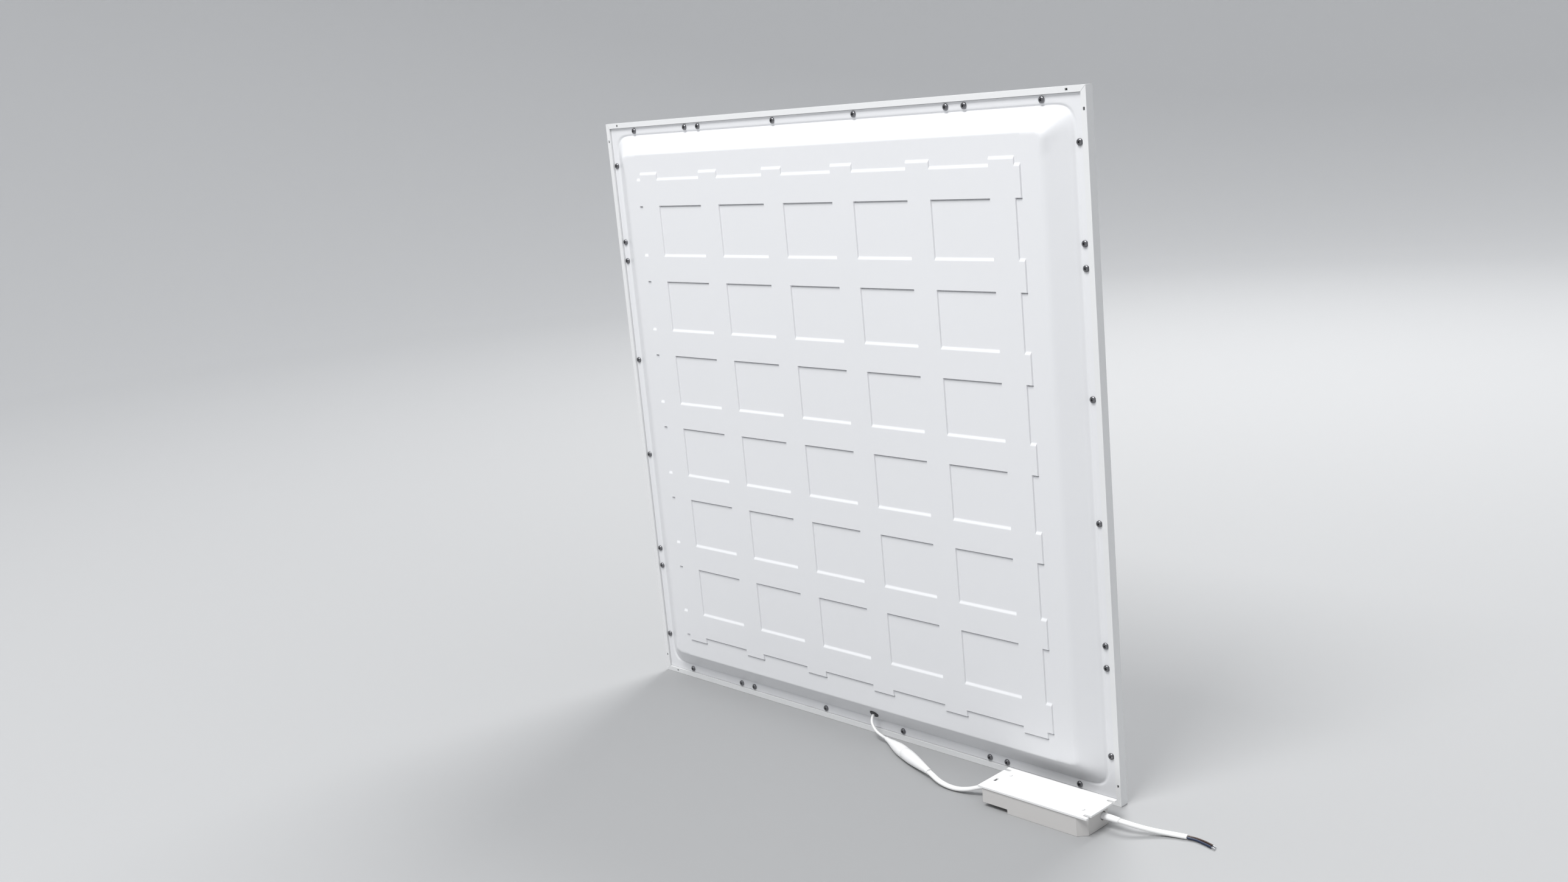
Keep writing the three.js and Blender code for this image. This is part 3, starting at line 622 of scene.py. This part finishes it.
def axis_lines(upright):
    """Grid lines across the pan: close together where the pressing bends, wide apart where it's flat."""
    lines = set()

    def put(value):
        lines.add(round(value / MM, 3))

    for s in (-1, 1):
        put(s * pan_high.x)
        put(s * (pan_high.x - 0.25 * MM))
        for inset in WALL_LINES:
            put(s * (HALF - inset * MM))
    if upright:
        tops = [row * BAND_PITCH + BAND_HALF for row in band_rows()] + [BAND_REACH + BAND_HALF + TAB]
        for top in tops:
            for offset in UPPER_LINES:
                put(top + offset * MM)
            for offset in LOWER_LINES:
                put(-top + offset * MM)
    else:
        sides = [rib * RIB_PITCH + RIB_HALF for rib in rib_columns()] + [RIB_REACH + RIB_HALF + TAB]
        for side in sides:
            for offset in SIDE_LINES:
                put(side + offset * MM)
                put(-side + offset * MM)
    near = sorted(lines)
    for a, b in zip(near, near[1:]):
        if b - a > WIDE_GAP:
            parts = math.ceil((b - a) / FLAT_STEP)
            for k in range(1, parts):
                lines.add(round(a + (b - a) * k / parts, 3))
    return [v * MM for v in sorted(lines)]


def pan_point(x, z):
    y = FLANGE + wall_height(x, z) + emboss_height(x, z)
    return Vector((x, y, z + MIDDLE))


def make_pan():
    """The pan as one pressed sheet, drawn on a grid of points."""
    xs, zs = axis_lines(upright=False), axis_lines(upright=True)
    vertices = [pan_point(x, z) for z in zs for x in xs]
    nx = len(xs)
    faces = []
    for j in range(len(zs) - 1):
        for i in range(nx - 1):
            a = j * nx + i
            faces.append((a, a + nx, a + nx + 1, a + 1))
    mesh = mesh_from("back_pan_pressing", vertices, faces)
    piece = new_object("back_pan_pressing", mesh, PANEL)
    solidify = piece.modifiers.new("sheet", "SOLIDIFY")
    solidify.thickness = SHEET
    solidify.offset = -1
    smooth_by_angle(piece, 22)
    even = piece.modifiers.new("even_normals", "WEIGHTED_NORMAL")
    even.keep_sharp = True
    dress(piece, "pan_paint")
    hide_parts("back_pan")


make_pan()


# ---------------------------------------------------------------- screws
HEAD_RADIUS, HEAD_HIGH, HEAD_RIM, HEAD_SUNK = 2.9 * MM, 1.75 * MM, 0.35 * MM, 0.2 * MM


def screw_piece(name, along, turn):
    """Pan-head screw with a rounded head and a cross recess, seated on the pan's flange."""
    dome = [(HEAD_RADIUS, HEAD_RIM)]
    for k in range(1, 7):
        a = k / 6 * math.pi / 2
        radius = HEAD_RADIUS * (0.42 + 0.58 * math.cos(a))
        dome.append((radius, HEAD_RIM + (HEAD_HIGH - HEAD_RIM) * math.sin(a)))
    underside = [(0, -HEAD_SUNK), (HEAD_RADIUS, -HEAD_SUNK)]
    profile = underside + dome + [(HEAD_RADIUS * 0.2, HEAD_HIGH), (0, HEAD_HIGH)]
    mesh = turned(name, profile, (0, 0, 0), (0, 1, 0), 32)
    bm = bmesh.new()
    bm.from_mesh(mesh)
    spin = Quaternion((0, 1, 0), math.radians(37 * turn + along / MM * 0.7))
    place = Matrix.Rotation(turn * math.pi / 2, 4, "Y")
    centre = place @ Vector((along, 0, SCREW_ROW - HALF))
    for v in bm.verts:
        v.co = spin @ v.co
        v.co += Vector((centre.x, FLANGE, centre.z + MIDDLE))
    bm.to_mesh(mesh)
    bm.free()
    piece = new_object(name, mesh, PANEL)
    smooth_by_angle(piece, 40)
    carve(piece, cross_cutter(Vector((centre.x, FLANGE + HEAD_HIGH, centre.z + MIDDLE)), spin))
    dress(piece, "screw_steel")
    return piece


def cross_cutter(tip, spin):
    """The tapered cross of a Phillips driver."""
    bm = bmesh.new()
    for turn in (0, math.pi / 2):
        arm = bmesh.ops.create_cube(bm, size=1)["verts"]
        for v in arm:
            narrow = 0.45 if v.co.y < 0 else 1.0
            v.co = Vector((v.co.x * 3.3 * MM * narrow, v.co.y * 2.4 * MM, v.co.z * 0.8 * MM))
            v.co = Matrix.Rotation(turn, 3, "Y") @ v.co
    for v in bm.verts:
        v.co = spin @ v.co + tip
    mesh = bpy.data.meshes.new("cutter")
    bm.to_mesh(mesh)
    bm.free()
    return new_object("cutter", mesh)


def carve(piece, cutter):
    """Cuts one solid out of another for good, and removes the tool."""
    modifier = piece.modifiers.new("cut", "BOOLEAN")
    modifier.operation = "DIFFERENCE"
    modifier.solver = "EXACT"
    modifier.use_self = True
    modifier.object = cutter
    bpy.context.view_layer.update()
    graph = bpy.context.evaluated_depsgraph_get()
    cut = bpy.data.meshes.new_from_object(piece.evaluated_get(graph))
    piece.modifiers.remove(modifier)
    old = piece.data
    piece.data = cut
    cut.name = old.name
    bpy.data.meshes.remove(old)
    tool = cutter.data
    bpy.data.objects.remove(cutter)
    bpy.data.meshes.remove(tool)


SIDES = ["bottom", "left", "top", "right"]
for turn_index, side_name in enumerate(SIDES):
    modelled = 0
    for place_index, along_side in enumerate(SCREWS):
        screw = screw_piece(f"screw_{side_name}_{place_index + 1}", along_side, turn_index)
        if round(along_side / MM, 1) in SCREWS_IN_CAD:
            modelled += 1
            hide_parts(f"pan_screw_{side_name}_{modelled}")


# ---------------------------------------------------------------- carried-over parts: rounded edges
def round_edges(node, width, segments=3):
    """Small rounded edges on a part of the frame, which otherwise stays as it is."""
    modifier = frame["nodes"][node].modifiers.new("edges", "BEVEL")
    modifier.width = width
    modifier.segments = segments
    modifier.limit_method = "ANGLE"
    modifier.angle_limit = math.radians(30)
    modifier.use_clamp_overlap = True


for side_name in SIDES:
    round_edges(f"frame_{side_name}", 0.22 * MM, 2)
round_edges("driver_cover", 0.45 * MM)
round_edges("driver_base", 0.6 * MM)
round_edges("diffuser", 0.3 * MM, 2)


# ---------------------------------------------------------------- grommet and strain relief
def grommet_piece():
    """A soft black ring with a rolled lip, seated in the hole of the pan's bottom slope."""
    bore, waist = 1.6, 3.0
    inside = -(SHEET / MM + 0.3)
    lip = inside - 1.2
    profile = [
        (bore, lip), (4.1, lip), (4.4, inside - 0.9), (4.4, inside), (waist, inside), (waist, 0.3),
        (4.5, 0.3), (4.7, 0.55), (4.55, 1.05), (4.1, 1.45), (3.4, 1.75), (2.6, 1.85), (bore + 0.35, 1.8),
        (bore + 0.05, 1.5), (bore, 1.1), (bore, lip),
    ]
    mesh = turned("grommet_ring", in_mm(profile), LEAD_HOLE, SLOPE_OUT)
    piece = new_object("grommet_ring", mesh, PANEL)
    smooth_by_angle(piece, 40)
    dress(piece, "grommet_rubber")
    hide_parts("lead_grommet")


def relief_piece():
    """The mains lead's slim relief: a flattened collar that is held in the end wall and tapers off."""
    low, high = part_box("mains_strain_relief")
    start = Vector((high.x, (low.y + high.y) / 2, (low.z + high.z) / 2))
    long = (high.x - low.x) / MM
    flange = (high.y - low.y) / 2 / MM
    neck, narrow = flange - 0.2, 2.75
    profile = [
        (0, 0), (flange - 0.15, 0), (flange, 0.15), (flange, 1.6), (neck, 1.8), (neck, 4.6), (neck - 0.1, 6),
        (3.3, long * 0.6), (2.95, long - 1.0), (narrow + 0.1, long - 0.4), (narrow - 0.15, long - 0.1),
        (narrow - 0.5, long), (0, long),
    ]
    flatten = (high.z - low.z) / (high.y - low.y)
    mesh = turned("mains_relief", in_mm(profile), start, (-1, 0, 0), 40, flatten)
    piece = new_object("mains_relief", mesh, DRIVER_UNIT)
    smooth_by_angle(piece, 40)
    dress(piece, "white_plastic")
    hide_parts("mains_strain_relief")


grommet_piece()
relief_piece()


# ---------------------------------------------------------------- driver details
SLOT_X, SLOT_Y = 49.5 * MM, 4.5 * MM
SLOT_HALF_WIDE, SLOT_HALF_LONG = 1.05 * MM, 2.55 * MM


def rounded_box(name, low, high, radius):
    bm = bmesh.new()
    bmesh.ops.create_cube(bm, size=1)
    for v in bm.verts:
        v.co = Vector([low[i] if v.co[i] < 0 else high[i] for i in range(3)])
    bmesh.ops.bevel(bm, geom=list(bm.edges), offset=radius, segments=3, affect="EDGES", profile=0.5)
    mesh = bpy.data.meshes.new(name)
    bm.to_mesh(mesh)
    bm.free()
    return mesh


def slot_painted_shade():
    """A dark block set under the slot in the driver's cover: painted shade that stands in for the shadow
    inside the slot.
    """
    middle = (cover_low + cover_high) / 2
    x, y = middle.x + SLOT_X, middle.y + SLOT_Y
    # Painted shade: the block's dark colour stands in for the shadow inside the slot, and it sits 0.9 mm
    # under the cover's top.
    low = Vector((x - SLOT_HALF_WIDE, y - SLOT_HALF_LONG, cover_low.z - 3 * MM))
    high = Vector((x + SLOT_HALF_WIDE, y + SLOT_HALF_LONG, cover_high.z - 0.9 * MM))
    piece = new_object("slot_painted_shade", rounded_box("slot_painted_shade", low, high, 0.25 * MM), DRIVER_UNIT)
    smooth_by_angle(piece)
    dress(piece, "dark_plastic")


slot_painted_shade()


# ---------------------------------------------------------------- stage and light
STAGE_FLAT, STAGE_CURVE, STAGE_TOP = 3.4, 2.4, 5.5
STAGE_DROP = 0.0002
PAPER_MIDDLE, PAPER_WALL = (0.36, 0.363, 0.367), (0.62, 0.624, 0.63)
PAPER_FADE = 0.28
KEY_AIM = (0, 0, 0.3)


def studio_bowl():
    """A plain round studio: a flat floor that curves up into a wall on all sides, open at the top."""
    profile = [(0.4, 0), (1.2, 0), (2.3, 0), (STAGE_FLAT, 0)]
    for k in range(1, 17):
        a = math.pi / 2 * k / 16
        profile.append((STAGE_FLAT + STAGE_CURVE * math.sin(a), STAGE_CURVE * (1 - math.cos(a))))
    profile.append((STAGE_FLAT + STAGE_CURVE, STAGE_TOP))
    sides = 96
    vertices, faces = [Vector((0, 0, 0))], []
    for r, z in profile:
        vertices += [
            Vector((r * math.cos(2 * math.pi * k / sides), r * math.sin(2 * math.pi * k / sides), z))
            for k in range(sides)
        ]
    for k in range(sides):
        faces.append((0, 1 + k, 1 + (k + 1) % sides))
    for j in range(len(profile) - 1):
        for k in range(sides):
            a, b = 1 + j * sides + k, 1 + j * sides + (k + 1) % sides
            faces.append((a, a + sides, b + sides, b))
    piece = new_object("studio_floor", mesh_from("studio_floor", vertices, faces))
    piece.location = (0, 0, -STAGE_DROP)
    paper = Nodes("studio_paper", (0.42, 0.42, 0.42), 0.8)
    gradient = paper.node("ShaderNodeTexGradient", gradient_type="SPHERICAL")
    shrink = paper.node("ShaderNodeMapping")
    shrink.inputs["Scale"].default_value = (PAPER_FADE, PAPER_FADE, PAPER_FADE)
    paper.join(paper.place, shrink.inputs["Vector"])
    paper.join(shrink.outputs["Vector"], gradient.inputs["Vector"])
    tones = [(0.0, PAPER_WALL), (0.9, PAPER_MIDDLE)]
    paper.ramp(gradient.outputs["Fac"], tones, paper.shader.inputs["Base Color"])
    piece.data.materials.append(paper.material)


def area_light(name, location, size, power):
    """A square soft light that faces the panel."""
    data = bpy.data.lights.new(name, "AREA")
    data.size = size
    data.energy = power
    lamp = bpy.data.objects.new(name, data)
    bpy.context.collection.objects.link(lamp)
    lamp.location = location
    lamp.rotation_mode = "QUATERNION"
    lamp.rotation_quaternion = (Vector(KEY_AIM) - Vector(location)).to_track_quat("-Z", "Y")


def make_stage():
    studio_bowl()
    world = bpy.data.worlds.new("studio")
    bpy.context.scene.world = world
    world.use_nodes = True
    background = world.node_tree.nodes["Background"]
    background.inputs["Color"].default_value = (0.95, 0.97, 1.0, 1)
    background.inputs["Strength"].default_value = 0.79
    area_light("rear_key", (-0.2, 1.55, 3.0), size=1.3, power=83)
    area_light("front_key", (0.5, -1.9, 2.7), size=1.4, power=80)
    bpy.context.scene.view_settings.view_transform = "Standard"


make_stage()
